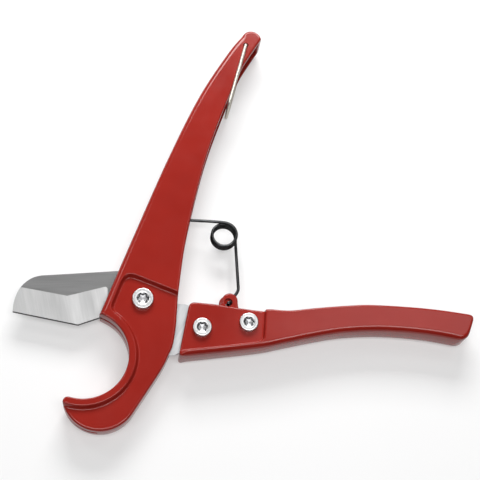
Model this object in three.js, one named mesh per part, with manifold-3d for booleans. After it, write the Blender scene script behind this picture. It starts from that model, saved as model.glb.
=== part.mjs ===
// Scissor-type plastic pipe cutter: a die-cast frame (hooked jaw and upper handle in one piece),
// a lower handle that carries the blade, a torsion return spring and a wire latch bail.
// Millimetres. The tool lies flat: Z is its thickness, the pipe lies along Z in the jaw.
// Everything is drawn about the blade pivot with Z = 0 in the tool's middle plane, and the
// finished assembly is then moved so that the origin is under its middle, at its lowest point.

import * as THREE from 'three';
import { mergeVertices } from 'three/addons/utils/BufferGeometryUtils.js';
import Module from 'manifold-3d';

const wasm = await Module();
wasm.setup();

// ---------------------------------------------------------------- driving dimensions

const GAP = 0.3;                    // clearance between pieces that touch
const THROUGH = 12;                 // reach of a cutter that goes right through

const HANDLE_HALF = 7.6;            // half thickness of both grips
const PLATE_HALF = 5.3;             // half thickness of the jaw plate and of the blade holder
const CHANNEL_HALF = 5.6;           // half width of the handles' channels
const BACK_WALL = 2.6;              // wall along the upper handle's back
const UNDER_WALL = 2.4;             // wall along the lower grip's underside
const HOLDER_RIM = 3.0;             // width of the raised rim under the blade holder
const EDGE_ROUND = 1.0;             // rounding on the castings' edges

const JAW_CENTRE = [-28.8, -28.2];
const JAW_RADIUS = 21.8;            // takes pipe up to 42 mm outside diameter
const RIM_RADIUS = 25.4;            // outer edge of the raised rim round the jaw
const HOOK_CENTRE = [-20.8, -47.0];
const HOOK_RADIUS = 18.4;
const HOOK_TIP_CENTRE = [-36.24, -51.23];
const HOOK_TIP_RADIUS = 2.4;
const TIP_CENTRE = [60.6, 147.95];
const TIP_RADIUS = 5.4;

const BLADE_HALF = 0.8;
const SLOT_HALF = BLADE_HALF + GAP;
const CHANNEL_END_RADIUS = 22.6;    // the channel stops this far from the pivot
const EDGE_LAND = 0.12;             // half thickness left at the cutting edge

const PIVOT_SHANK = 3.0;
const PIVOT_HEAD = 5.3;
const SCREW_SHANK = 2.5;
const SCREW_HEAD = 4.7;
const SCREWS = [[29.1, -15.0], [52.4, -12.6]];
const CHAMFER = 0.3;
const HEAD_EDGE = 0.5;              // rounding of the screw heads
const SOCKET_SHARE = 0.62;          // the socket's radius as a share of the head's
const SOCKET_DEPTH = 1.7;
const BUSH_OUTER = 4.5;
const BUSH_HALF = 1.5;
const THRUST_OUTER = 7.5;
const THRUST_THICK = 0.4;
const THRUST_POCKET = 1.7;          // depth of the thrust washers' seats from the middle plane
const NUT_SEAT = 3.1;               // the nut pockets' floor, measured from the middle plane
const NUT_THICK = 2.6;
const NUT_SHARE = 1.9;              // a nut's radius over its corners as a share of its thread's
const LOCK_THICK = 1.0;
const LOCK_SPLIT = 0.6;

const LUG_CENTRE = [43.6, -0.5];    // spring lug on the lower handle
const LUG_RADIUS = 4.0;
const LUG_FLARE = 2.4;              // the ears' foot is this much wider on the pivot's side
const LUG_EYE = [42.8, -1.5];
const LUG_EYE_RADIUS = 2.1;
const LUG_INNER = 2.0;              // each ear runs from here to LUG_OUTER
const LUG_OUTER = 4.4;
const LUG_FOOT = 8.0;               // the ears reach this far down into the handle

const SPRING_WIRE = 0.78;
const SPRING_HOOK = [42.8, -1.8];   // the wire's end in the lug
const LEG_CORNER = [48.7, 6.3];     // the lower leg's corner beside the lug
const SPRING_COIL = [42.2, 35.5];
const SPRING_TIP = [6.5, 44.9];     // the upper leg's end, by the handle's back wall
const SPRING_BEND = 1.6;
const LEG_LEVEL = -0.9;             // height of the lower leg where it leaves the lug
const COIL_RADIUS = 6.0;
const COIL_TURNS = 3.25;
const COIL_PITCH = 2.12;
const HALVES_GAP = 2.0;             // degrees that keep the coil's two halves from the middle
const UPPER_LEG_LEAD = 12;          // degrees before the coil's end where the upper leg leaves it

const BAIL_WIRE = 0.85;
const BAIL_EYE = 1.5;               // radius of the holes for the wire's ends
const BAIL_HOLE = [57.3, 144.1];
const BAIL_BAR = [46.7, 107.9];
const BAIL_HALF = 9.3;              // half the distance between the two legs
const BAIL_BEND = 1.6;

// ---------------------------------------------------------------- finishes

const finish = (color, roughness, metalness) => () =>
  new THREE.MeshStandardMaterial({ color, roughness, metalness });

const RED_PAINT = finish(0xa12c24, 0.35, 0.0);
const BLADE_STEEL = finish(0xb4b6b8, 0.3, 1.0);
const CHROME = finish(0xe6e8ea, 0.12, 1.0);
const ZINC = finish(0xb9bcc0, 0.35, 1.0);
const BLACK_WIRE = finish(0x1a1a1b, 0.3, 0.6);
const NICKEL_WIRE = finish(0xd6d2c6, 0.25, 1.0);
const BRONZE = finish(0xa9834e, 0.4, 1.0);

// ---------------------------------------------------------------- solids

const SHORTEST_RUN = 0.06;
const ARC_TOLERANCE = 0.05;

const vec = ([x, y]) => new THREE.Vector2(x, y);

function polar([x, y], radius, degrees) {
  const angle = THREE.MathUtils.degToRad(degrees);
  return [x + radius * Math.cos(angle), y + radius * Math.sin(angle)];
}

// Adds an arc in runs that stay within ARC_TOLERANCE of it; a falling angle runs clockwise.
function arc(path, centre, radius, fromDegrees, toDegrees) {
  const sweep = toDegrees - fromDegrees;
  const widest = 2 * THREE.MathUtils.radToDeg(Math.acos(1 - ARC_TOLERANCE / radius));
  const runs = Math.ceil(Math.abs(sweep) / widest);
  for (let i = 0; i <= runs; i += 1) {
    path.lineTo(...polar(centre, radius, fromDegrees + sweep * i / runs));
  }
}

function toSolid(geometry) {
  const bare = geometry.clone();
  bare.deleteAttribute('normal');
  bare.deleteAttribute('uv');
  const merged = mergeVertices(bare, 1e-4);
  return new wasm.Manifold(new wasm.Mesh({
    numProp: 3,
    vertProperties: new Float32Array(merged.attributes.position.array),
    triVerts: new Uint32Array(merged.index.array),
  }));
}

// The outline as straight runs, without the doubled points where two curves meet.
function traced(shape, divisions) {
  const points = shape.getPoints(divisions);
  return new THREE.Shape(points.filter((point, i) => (
    point.distanceTo(points[(i + 1) % points.length]) > SHORTEST_RUN)));
}

function slab(shape, low, high, bevel = 0, divisions = 4) {
  const geometry = new THREE.ExtrudeGeometry(traced(shape, divisions), {
    depth: high - low - 2 * bevel,
    bevelEnabled: bevel > 0,
    bevelThickness: bevel,
    bevelSize: bevel,
    bevelOffset: -bevel,
    bevelSegments: 2,
  });
  return toSolid(geometry.translate(0, 0, low + bevel));
}

function polygon(points) {
  return new THREE.Shape(points.map(vec));
}

// A round, hexagonal or other regular prism on the Z direction.
function prism([x, y], radius, low, high, sides = 24) {
  const geometry = new THREE.CylinderGeometry(radius, radius, high - low, sides);
  geometry.rotateX(Math.PI / 2).translate(x, y, (low + high) / 2);
  return toSolid(geometry);
}

function bore(centre, radius, sides = 24) {
  return prism(centre, radius, -THROUGH, THROUGH, sides);
}

function ring(centre, inner, outer, low, high, sides = 24) {
  return prism(centre, outer, low, high, sides).subtract(bore(centre, inner, sides));
}

// Points along a smooth line, moved sideways to its left by a distance.
function offsetLine(points, distance, count) {
  const curve = new THREE.SplineCurve(points.map(vec));
  return Array.from({ length: count + 1 }, (_, i) => {
    const at = curve.getPointAt(i / count);
    const along = curve.getTangentAt(i / count);
    return [at.x - along.y * distance, at.y + along.x * distance];
  });
}

function mirrorZ(solid) {
  return solid.mirror([0, 0, 1]);
}

function cutFrom(solid, cutters) {
  return cutters.reduce((left, cutter) => left.subtract(cutter), solid);
}

function piece(name, solid, material) {
  const { vertProperties, triVerts } = solid.getMesh();
  const geometry = new THREE.BufferGeometry();
  geometry.setAttribute('position', new THREE.BufferAttribute(new Float32Array(vertProperties), 3));
  geometry.setIndex(new THREE.BufferAttribute(new Uint32Array(triVerts), 1));
  geometry.computeVertexNormals();
  const mesh = new THREE.Mesh(geometry, material());
  mesh.name = name;
  return mesh;
}

// ---------------------------------------------------------------- jaw and upper handle

const CORNER_ANGLE = 69.9;          // where the handle's back meets the jaw's inner circle
const JAW_CORNER = polar(JAW_CENTRE, JAW_RADIUS, CORNER_ANGLE);
const RIM_END_ANGLE = 53;           // the jaw's rim follows its circle up to here
const BACK_EDGE = [[-5.4, 31.1], [13.5, 76.0], [31.0, 112.9], [47.6, 140.0], [56.2, 151.1]];
const STEP_END = [17.7, 3.1];
const FRONT_EDGE = [[58.9, 137.3], [53.6, 128.0], [46.2, 111.0], [36.3, 84.8], [29.5, 62.0],
  [22.1, 30.9], STEP_END];
const THROAT_EDGE = [[16.3, -13.6], [14.6, -23.0], [12.2, -28.6], [8.3, -36.3]];

function addHandle(shape) {
  shape.splineThru(BACK_EDGE.map(vec));
  arc(shape, TIP_CENTRE, TIP_RADIUS, 143, 4);
  shape.splineThru(FRONT_EDGE.map(vec));
}

function frameOutline() {
  const shape = new THREE.Shape();
  shape.moveTo(...JAW_CORNER);
  addHandle(shape);
  shape.splineThru(THROAT_EDGE.map(vec));
  arc(shape, HOOK_CENTRE, HOOK_RADIUS, -33.7, -164.7);
  arc(shape, HOOK_TIP_CENTRE, HOOK_TIP_RADIUS, 195.3, 72.1);
  arc(shape, JAW_CENTRE, JAW_RADIUS, -107.9, CORNER_ANGLE);
  return shape;
}

// The thick part of the casting: the handle, and a rim down the back and round the jaw.
function raisedOutline() {
  const shape = new THREE.Shape();
  shape.moveTo(...JAW_CORNER);
  addHandle(shape);
  shape.lineTo(-3.0, 11.95);
  shape.quadraticCurveTo(-8.8, 14.4, -11.2, 7.9);
  shape.lineTo(-15.0, -1.8);
  shape.quadraticCurveTo(-16.6, -5.6, ...polar(JAW_CENTRE, RIM_RADIUS, RIM_END_ANGLE));
  arc(shape, JAW_CENTRE, RIM_RADIUS, RIM_END_ANGLE, -110.2);
  shape.lineTo(-37.35, -50.2);
  shape.lineTo(-36.0, -49.1);
  arc(shape, JAW_CENTRE, JAW_RADIUS, -104, CORNER_ANGLE);
  return shape;
}

// Space inside the handle, open towards the lower handle, that takes the spring, the blade
// holder and its lug when the tool closes.
function channelOutline() {
  const wall = offsetLine(BACK_EDGE, -BACK_WALL, 12).reverse();
  const shape = new THREE.Shape();
  shape.moveTo(...polar([0, 0], CHANNEL_END_RADIUS, 5));
  shape.lineTo(60, 20);
  shape.lineTo(90, 143);
  shape.lineTo(62.5, 147.2);
  wall.forEach((point) => shape.lineTo(...point));
  arc(shape, [0, 0], CHANNEL_END_RADIUS, 105, 5);
  return shape;
}

// The blade's slot: it opens the back from the jaw corner up to the stop, the whole throat,
// the hook's outer edge, and the side towards the lower handle.
function slotOutline() {
  return polygon([[-60, 16.9], [2, 16.9], [8, 24], [60, 24], [60, -31], [8, -31], [2, -32.5],
    [-2.2, -35.5], [-23.3, -67], [-30, -80], [-60, -80]]);
}

function jawFrame() {
  const casting = slab(frameOutline(), -PLATE_HALF, PLATE_HALF, EDGE_ROUND)
    .add(slab(raisedOutline(), -HANDLE_HALF, HANDLE_HALF, EDGE_ROUND));
  return cutFrom(casting, [
    slab(channelOutline(), -CHANNEL_HALF, CHANNEL_HALF, 0, 8),
    slab(slotOutline(), -SLOT_HALF, SLOT_HALF),
    prism([0, 0], THRUST_OUTER + GAP, -THRUST_POCKET, THRUST_POCKET, 28),
    bore([0, 0], PIVOT_SHANK + GAP),
    prism([0, 0], PIVOT_SHANK * NUT_SHARE + GAP, -THROUGH, -NUT_SEAT, 6),
    bore(BAIL_HOLE, BAIL_EYE, 16),
  ]);
}

// ---------------------------------------------------------------- lower handle

const HOLDER_TOP = [[26.0, -1.45], [36.5, -2.65], [48.0, -4.65], [64.0, -7.0]];
const STEP_TOP = [61.4, -5.85];
const STEP_FOOT = [59.9, -22.3];
const GRIP_START = [64.6, -6.1];
const GRIP_TOP = [[73.5, -6.75], [86.8, -5.55], [102.5, -4.45], [115.1, -4.15], [134.0, -5.35],
  [149.7, -7.05], [165.0, -9.45]];
const UNDER_EDGE = [[19.6, -29.5], [31.0, -28.45], [43.8, -27.2], [59.1, -25.5], [69.4, -23.5],
  [84.0, -20.65], [97.5, -18.5], [111.2, -17.6], [125.0, -17.85], [142.5, -19.6], [158.0, -22.5]];
const LEFT_EDGE = [[17.6, -27.3], [22.6, -4.4]];

// Clockwise from the left edge's top, round the blade holder.
function holderOutline() {
  const shape = new THREE.Shape();
  shape.moveTo(...LEFT_EDGE[1]);
  shape.quadraticCurveTo(23.2, -1.35, ...HOLDER_TOP[0]);
  shape.splineThru(HOLDER_TOP.slice(1).map(vec));
  shape.lineTo(64.0, -23.0);
  shape.splineThru(UNDER_EDGE.slice(0, 4).reverse().map(vec));
  shape.quadraticCurveTo(17.1, -29.8, ...LEFT_EDGE[0]);
  return shape;
}

// The thick part: the grip, and a rim under the blade holder.
function gripOutline() {
  const rimTop = offsetLine(UNDER_EDGE.slice(0, 4), HOLDER_RIM, 8).slice(0, -1);
  const shape = new THREE.Shape();
  shape.moveTo(...LEFT_EDGE[0]);
  rimTop.forEach((point) => shape.lineTo(...point));
  shape.lineTo(...STEP_FOOT);
  shape.lineTo(...STEP_TOP);
  shape.lineTo(...GRIP_START);
  shape.splineThru(GRIP_TOP.map(vec));
  shape.quadraticCurveTo(168.3, -9.9, 167.0, -13.2);
  shape.lineTo(164.6, -19.3);
  shape.quadraticCurveTo(162.8, -23.3, ...UNDER_EDGE.at(-1));
  shape.splineThru(UNDER_EDGE.slice(0, -1).reverse().map(vec));
  shape.quadraticCurveTo(17.1, -29.8, ...LEFT_EDGE[0]);
  return shape;
}

function gripHollowOutline() {
  const floor = offsetLine(UNDER_EDGE.slice(4), UNDER_WALL, 10);
  return polygon([[67, 10], [67, floor[0][1]], ...floor, [162.4, -18.4], [164.4, 10]]);
}

function lugEar(low, high) {
  const [x, y] = LUG_CENTRE;
  const foot = polygon([[x - LUG_RADIUS - LUG_FLARE, y - LUG_FOOT], [x + LUG_RADIUS, y - LUG_FOOT],
    [x + LUG_RADIUS, y], [x - LUG_RADIUS, y], [x - LUG_RADIUS - LUG_FLARE, y - LUG_RADIUS]]);
  return prism(LUG_CENTRE, LUG_RADIUS, low, high).add(slab(foot, low, high))
    .subtract(bore(LUG_EYE, LUG_EYE_RADIUS, 20));
}

// The blade's tang lies in this pocket, which is open at the front and on the first part of the top.
function tangPocketOutline() {
  return polygon([[10, 5], [37.2, 5], [37.6, -4.0], [40.4, -7.1], [55.4, -8.9], [56.5, -10.0],
    [56.5, -19.1], [55.3, -20.3], [25.0, -24.3], [10, -31]]);
}

function lowerHandle() {
  const legGroove = polygon([[38.0, 6], [64.0, 6], [64.0, -6.85], [41.0, -6.85]]);
  const casting = slab(holderOutline(), -PLATE_HALF, PLATE_HALF, EDGE_ROUND)
    .add(slab(gripOutline(), -HANDLE_HALF, HANDLE_HALF, EDGE_ROUND))
    .subtract(slab(legGroove, -LUG_INNER, LUG_INNER))
    .add(lugEar(LUG_INNER, LUG_OUTER))
    .add(lugEar(-LUG_OUTER, -LUG_INNER));
  return cutFrom(casting, [
    slab(gripHollowOutline(), -CHANNEL_HALF, CHANNEL_HALF),
    slab(tangPocketOutline(), -SLOT_HALF, SLOT_HALF),
    ...SCREWS.map((centre) => bore(centre, SCREW_SHANK + GAP)),
    ...SCREWS.map((centre) => prism(centre, SCREW_SHANK * NUT_SHARE + GAP, -THROUGH, -NUT_SEAT, 6)),
  ]);
}

// ---------------------------------------------------------------- blade

const BLADE_TIP = [-63.9, -4.7];
const BLADE_POINT = [-31.9, -11.8];
const BLADE_HEEL = [-16.0, -6.4];
const TIP_GRIND = 13.1;             // width of the ground face from tip to point
const HEEL_GRIND = 15.5;            // and from point to heel
const GRIND_END = -16.9;            // the grinding stops at this X
const GRIND_REACH = 120;
const GRIND_DEPTH = 10;

function bladeOutline() {
  const shape = new THREE.Shape();
  shape.moveTo(-12.7, 16.5);
  shape.lineTo(-50.2, 14.3);
  shape.splineThru([[-53.8, 13.4], [-57.4, 11.2], [-60.4, 8.0], [-62.4, 4.1], [-63.6, -0.6],
    BLADE_TIP].map(vec));
  shape.lineTo(...BLADE_POINT);
  shape.lineTo(...BLADE_HEEL);
  shape.splineThru([[-10.5, -10.5], [-4.6, -17.5], [3.0, -25.0], [13.2, -27.6], [20.7, -25.2],
    [24.2, -23.6]].map(vec));
  shape.lineTo(54.0, -19.8);
  shape.quadraticCurveTo(56.0, -19.6, 56.0, -17.8);
  shape.lineTo(56.0, -11.2);
  shape.quadraticCurveTo(56.0, -9.2, 54.0, -9.2);
  shape.lineTo(40.2, -7.5);
  shape.lineTo(37.0, -4.6);
  shape.lineTo(25.5, -3.0);
  shape.lineTo(21.2, -1.2);
  shape.lineTo(13.6, -1.2);
  shape.splineThru([[8.5, 3.4], [3.0, 9.8], [-3.0, 14.9], [-12.7, 16.5]].map(vec));
  return shape;
}

// A block whose underside is the front ground face along one cutting edge.
function grindBlock(from, to, width) {
  const along = vec(to).sub(vec(from));
  const middle = vec(from).add(vec(to)).multiplyScalar(0.5);
  const block = new THREE.BoxGeometry(GRIND_REACH, GRIND_REACH, GRIND_DEPTH)
    .translate(0, 0, GRIND_DEPTH / 2)
    .rotateX(Math.atan2(BLADE_HALF - EDGE_LAND, width))
    .translate(0, 0, EDGE_LAND)
    .rotateZ(along.angle())
    .translate(middle.x, middle.y, 0);
  return toSolid(block);
}

function blade() {
  const groundZone = slab(polygon([[-80, 30], [GRIND_END, 30], [GRIND_END, -30], [-80, -30]]),
    -GRIND_DEPTH, GRIND_DEPTH);
  const cuts = [
    grindBlock(BLADE_TIP, BLADE_POINT, TIP_GRIND),
    grindBlock(BLADE_POINT, BLADE_HEEL, HEEL_GRIND),
  ].map((block) => block.intersect(groundZone));
  return cutFrom(slab(bladeOutline(), -BLADE_HALF, BLADE_HALF), [
    ...cuts,
    ...cuts.map(mirrorZ),
    bore([0, 0], BUSH_OUTER + GAP),
    ...SCREWS.map((centre) => bore(centre, SCREW_SHANK + GAP)),
  ]);
}

// ---------------------------------------------------------------- fasteners

// A low round head with a rounded edge and a hexagon socket, on a plain shank.
function socketScrew([x, y], shank, head) {
  const top = HANDLE_HALF;
  const seat = PLATE_HALF + GAP;
  const profile = [[0, -top], [shank - CHAMFER, -top], [shank, CHAMFER - top], [shank, seat],
    [head - CHAMFER, seat], [head, seat + CHAMFER], [head, top - HEAD_EDGE],
    [head - CHAMFER / 2, top - CHAMFER / 2], [head - HEAD_EDGE, top], [0, top]];
  const body = new THREE.LatheGeometry(profile.map(vec), 28).rotateX(Math.PI / 2);
  const socket = prism([0, 0], head * SOCKET_SHARE, top - SOCKET_DEPTH, THROUGH, 6);
  return toSolid(body).subtract(socket).translate([x, y, 0]);
}

function hexNut(centre, shank) {
  const high = -NUT_SEAT - LOCK_THICK - 2 * GAP;
  return prism(centre, shank * NUT_SHARE, high - NUT_THICK, high, 6)
    .subtract(bore(centre, shank + GAP));
}

function lockWasher([x, y], shank) {
  const high = -NUT_SEAT - GAP;
  const outer = shank * 1.6;
  const split = new THREE.BoxGeometry(2 * shank, LOCK_SPLIT, 4 * LOCK_THICK)
    .translate(shank + 1, 0, 0)
    .rotateX(0.4)
    .translate(0, 0, high - LOCK_THICK / 2);
  return ring([0, 0], shank + GAP, outer, high - LOCK_THICK, high)
    .subtract(toSolid(split))
    .translate([x, y, 0]);
}

function thrustWasher(side) {
  const middle = side * (SLOT_HALF + THRUST_POCKET) / 2;
  return ring([0, 0], BUSH_OUTER + GAP, THRUST_OUTER, middle - THRUST_THICK / 2,
    middle + THRUST_THICK / 2, 28);
}

// ---------------------------------------------------------------- wires

class WirePath extends THREE.CurvePath {
  // Straight runs between the points, with every corner rounded.
  static through(points, bend) {
    const path = new WirePath();
    let start = points[0];
    for (let i = 1; i < points.length - 1; i += 1) {
      const corner = points[i];
      const before = corner.clone().add(start.clone().sub(corner).setLength(bend));
      const after = corner.clone().add(points[i + 1].clone().sub(corner).setLength(bend));
      path.add(new THREE.LineCurve3(start, before));
      path.add(new THREE.QuadraticBezierCurve3(before, corner, after));
      start = after;
    }
    path.add(new THREE.LineCurve3(start, points.at(-1)));
    return path;
  }
}

class CoilCurve extends THREE.Curve {
  constructor(fromDegrees, toDegrees) {
    super();
    this.from = fromDegrees;
    this.to = toDegrees;
  }

  getPoint(t, target = new THREE.Vector3()) {
    const degrees = THREE.MathUtils.lerp(this.from, this.to, t);
    const [x, y] = polar(SPRING_COIL, COIL_RADIUS, degrees);
    return target.set(x, y, COIL_PITCH * (degrees / 360 - COIL_TURNS / 2));
  }
}

function wire(path, radius, steps, sides = 8) {
  const section = new THREE.Shape();
  section.absarc(0, 0, radius, 0, 2 * Math.PI);
  return toSolid(new THREE.ExtrudeGeometry(section, {
    extrudePath: path,
    steps,
    curveSegments: sides / 2,
    bevelEnabled: false,
  }));
}

const COIL_DEGREES = COIL_TURNS * 360;

function springLowerHalf() {
  const coil = new CoilCurve(0, COIL_DEGREES / 2 - HALVES_GAP);
  const [x, y] = SPRING_HOOK;
  const path = WirePath.through([
    new THREE.Vector3(x, y, LUG_OUTER + GAP),
    new THREE.Vector3(x, y, LEG_LEVEL),
    new THREE.Vector3(...LEG_CORNER, LEG_LEVEL),
    coil.getPoint(0),
  ], SPRING_BEND);
  path.add(coil);
  return wire(path, SPRING_WIRE, 80);
}

function springUpperHalf() {
  const coil = new CoilCurve(COIL_DEGREES / 2 + HALVES_GAP, COIL_DEGREES - UPPER_LEG_LEAD);
  const [x, y] = SPRING_COIL;
  const start = coil.getPoint(1);
  const bow = new THREE.Vector3(x - 1.6, y + COIL_RADIUS + 1.1, start.z - 0.6);
  const path = new THREE.CurvePath();
  path.add(coil);
  path.add(new THREE.QuadraticBezierCurve3(start, bow, new THREE.Vector3(...SPRING_TIP, 0.6)));
  return wire(path, SPRING_WIRE, 76);
}

function latchBail() {
  const [hx, hy] = BAIL_HOLE;
  const [bx, by] = BAIL_BAR;
  const end = CHANNEL_HALF - 2 * GAP;
  return wire(WirePath.through([
    new THREE.Vector3(hx, hy, end),
    new THREE.Vector3(hx, hy, BAIL_HALF),
    new THREE.Vector3(bx, by, BAIL_HALF),
    new THREE.Vector3(bx, by, -BAIL_HALF),
    new THREE.Vector3(hx, hy, -BAIL_HALF),
    new THREE.Vector3(hx, hy, -end),
  ], BAIL_BEND), BAIL_WIRE, 72);
}

// ---------------------------------------------------------------- assembly

const tool = new THREE.Group();

tool.add(
  piece('jaw_frame', jawFrame(), RED_PAINT),
  piece('lower_handle', lowerHandle(), RED_PAINT),
  piece('blade', blade(), BLADE_STEEL),
  piece('pivot_bolt', socketScrew([0, 0], PIVOT_SHANK, PIVOT_HEAD), CHROME),
  piece('pivot_bush', ring([0, 0], PIVOT_SHANK + GAP, BUSH_OUTER, -BUSH_HALF, BUSH_HALF), BRONZE),
  piece('pivot_nut', hexNut([0, 0], PIVOT_SHANK), ZINC),
  piece('pivot_lock_washer', lockWasher([0, 0], PIVOT_SHANK), ZINC),
  piece('thrust_washer_front', thrustWasher(1), ZINC),
  piece('thrust_washer_rear', thrustWasher(-1), ZINC),
);

for (const [i, label] of ['front', 'rear'].entries()) {
  tool.add(
    piece(`handle_screw_${label}`, socketScrew(SCREWS[i], SCREW_SHANK, SCREW_HEAD), CHROME),
    piece(`handle_nut_${label}`, hexNut(SCREWS[i], SCREW_SHANK), ZINC),
    piece(`handle_lock_washer_${label}`, lockWasher(SCREWS[i], SCREW_SHANK), ZINC),
  );
}

tool.add(
  piece('spring_lower_half', springLowerHalf(), BLACK_WIRE),
  piece('spring_upper_half', springUpperHalf(), BLACK_WIRE),
  piece('latch_bail', latchBail(), NICKEL_WIRE),
);

const box = new THREE.Box3().setFromObject(tool);
const middle = box.getCenter(new THREE.Vector3());
tool.position.set(-middle.x, -middle.y, -box.min.z);

const part = new THREE.Group();
part.add(tool);

export default part;
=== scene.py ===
"""Looks of the plastic pipe cutter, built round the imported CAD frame.

Lengths are millimetres about the blade pivot, with Z = 0 in the tool's middle plane, and
place() turns them into the frame's metres. The pivot and the middle plane come from the frame.
"""

import math

import bmesh
import bpy
import numpy as np
from mathutils import Matrix, Vector
from mathutils.geometry import delaunay_2d_cdt


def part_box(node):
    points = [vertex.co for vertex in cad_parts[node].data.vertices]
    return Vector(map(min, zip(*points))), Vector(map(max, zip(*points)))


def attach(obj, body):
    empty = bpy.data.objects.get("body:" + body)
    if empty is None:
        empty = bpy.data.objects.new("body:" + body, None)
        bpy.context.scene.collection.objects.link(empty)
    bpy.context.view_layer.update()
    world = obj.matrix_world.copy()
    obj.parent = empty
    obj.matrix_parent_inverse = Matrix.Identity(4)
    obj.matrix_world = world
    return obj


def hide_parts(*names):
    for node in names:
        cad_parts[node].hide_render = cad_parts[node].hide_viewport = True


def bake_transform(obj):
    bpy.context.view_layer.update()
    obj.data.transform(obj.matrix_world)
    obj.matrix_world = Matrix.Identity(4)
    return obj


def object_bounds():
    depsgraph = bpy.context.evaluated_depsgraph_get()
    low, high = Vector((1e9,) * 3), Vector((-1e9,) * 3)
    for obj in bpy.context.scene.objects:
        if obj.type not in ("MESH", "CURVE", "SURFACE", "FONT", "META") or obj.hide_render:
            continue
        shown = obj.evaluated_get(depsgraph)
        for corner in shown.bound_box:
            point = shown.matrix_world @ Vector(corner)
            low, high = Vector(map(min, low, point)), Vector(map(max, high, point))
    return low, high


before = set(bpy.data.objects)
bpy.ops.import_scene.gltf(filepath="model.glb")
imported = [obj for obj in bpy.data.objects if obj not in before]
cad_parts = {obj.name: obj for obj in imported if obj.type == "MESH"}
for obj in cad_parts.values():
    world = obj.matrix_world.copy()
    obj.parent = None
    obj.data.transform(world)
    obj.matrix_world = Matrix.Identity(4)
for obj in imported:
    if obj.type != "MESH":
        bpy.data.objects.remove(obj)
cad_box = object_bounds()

# ---------------------------------------------------------------- the tool's own frame

MM = 0.001
bolt_low, bolt_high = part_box("pivot_bolt")
casting_low, casting_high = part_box("jaw_frame")
PIVOT = Vector((
    (bolt_low.x + bolt_high.x) / 2,
    (bolt_low.y + bolt_high.y) / 2,
    (casting_low.z + casting_high.z) / 2,
))

# Half thicknesses: the handles, the jaw's plate and blade holder, the hollows, the slot, the blade.
HANDLE_HALF = (casting_high.z - casting_low.z) / 2 / MM
PLATE_HALF = 5.3
CHANNEL_HALF = 5.6
SLOT_HALF = 1.1
BLADE_HALF = 0.8
ORIGIN = (0.0, 0.0)
FRAME_BODY = "frame"
HANDLE_BODY = "lower_handle"


def place(x, y, z=0.0):
    """A point of the tool, in the frame's metres."""
    return PIVOT + Vector((x, y, z)) * MM


# ---------------------------------------------------------------- outlines

RUN = 0.9
SAME_POINT = RUN / 6
CORNER_RUNS = 8
ROUNDING_PASSES = 6
BATCH = 500
SHIFT_SLACK = 0.03


def arc(centre, radius, start, end):
    """Points along an arc, from one angle to another in degrees."""
    runs = max(2, math.ceil(abs(math.radians(end - start)) * radius / RUN))
    angles = np.radians(np.linspace(start, end, runs + 1))
    return [(centre[0] + radius * math.cos(a), centre[1] + radius * math.sin(a)) for a in angles]


def curve(*points):
    """A smooth line through the points."""
    p = np.array(points, float)
    before, after = np.vstack([p[:1], p[:-1]]), np.vstack([p[1:], p[-1:]])
    slopes = (after - before) / 2
    line = [p[0]]
    for a, b, slope_a, slope_b in zip(p[:-1], p[1:], slopes[:-1], slopes[1:]):
        runs = max(2, math.ceil(np.linalg.norm(b - a) / RUN))
        t = np.linspace(0, 1, runs + 1)[1:, None]
        line.extend((2 * a - 2 * b + slope_a + slope_b) * t ** 3
                    + (3 * b - 3 * a - 2 * slope_a - slope_b) * t ** 2 + slope_a * t + a)
    return [tuple(q) for q in line]


def bend(start, corner, end):
    """A rounded corner."""
    a, b, c = (np.array(q, float) for q in (start, corner, end))
    return [tuple((1 - t) ** 2 * a + 2 * t * (1 - t) * b + t * t * c)
            for t in np.linspace(0, 1, CORNER_RUNS + 1)]


def straight(start, end):
    """Points along a straight run."""
    a, b = np.array(start, float), np.array(end, float)
    runs = max(1, math.ceil(np.linalg.norm(b - a) / RUN))
    return [tuple(a + (b - a) * t) for t in np.linspace(0, 1, runs + 1)]


class Outline:
    """A closed line made of stretches, each with its own edge rounding."""

    def __init__(self):
        self.points, self.rounding = [], []

    def add(self, points, rounding):
        for q in points:
            if not self.points or math.dist(q, self.points[-1]) > SAME_POINT:
                self.points.append(q)
                self.rounding.append(rounding)

    def closed(self):
        """The points, and the edge rounding at each, which changes gradually along the line."""
        if math.dist(self.points[0], self.points[-1]) < SAME_POINT:
            self.points.pop()
            self.rounding.pop()
        radii = np.array(self.rounding, float)
        for _ in range(ROUNDING_PASSES):
            radii = (np.roll(radii, 1) + radii * 2 + np.roll(radii, -1)) / 4
        return np.array(self.points), radii


def nearest(points, line, closed):
    """For each point, the distance to a line, the nearest run and how far along it that is."""
    a = np.array(line, float)
    b = np.roll(a, -1, 0)
    if not closed:
        a, b = a[:-1], b[:-1]
    along = b - a
    length = (along ** 2).sum(1)
    best = []
    for q in np.array_split(points, max(1, len(points) // BATCH)):
        share = np.clip(((q[:, None] - a) * along).sum(2) / length, 0, 1)
        gap = np.linalg.norm(q[:, None] - a - share[..., None] * along, axis=2)
        run = gap.argmin(1)
        rows = np.arange(len(q))
        best.append(np.stack([gap[rows, run], run, share[rows, run]], 1))
    return np.vstack(best)


def inside(points, polygon):
    """Which points lie in a polygon."""
    a = np.array(polygon, float)
    b = np.roll(a, -1, 0)
    x, y = points[:, :1], points[:, 1:]
    crosses = (a[:, 1] > y) != (b[:, 1] > y)
    rise = np.where(a[:, 1] == b[:, 1], 1e-9, b[:, 1] - a[:, 1])
    return (crosses & (x < (b[:, 0] - a[:, 0]) * (y - a[:, 1]) / rise + a[:, 0])).sum(1) % 2 == 1


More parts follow.
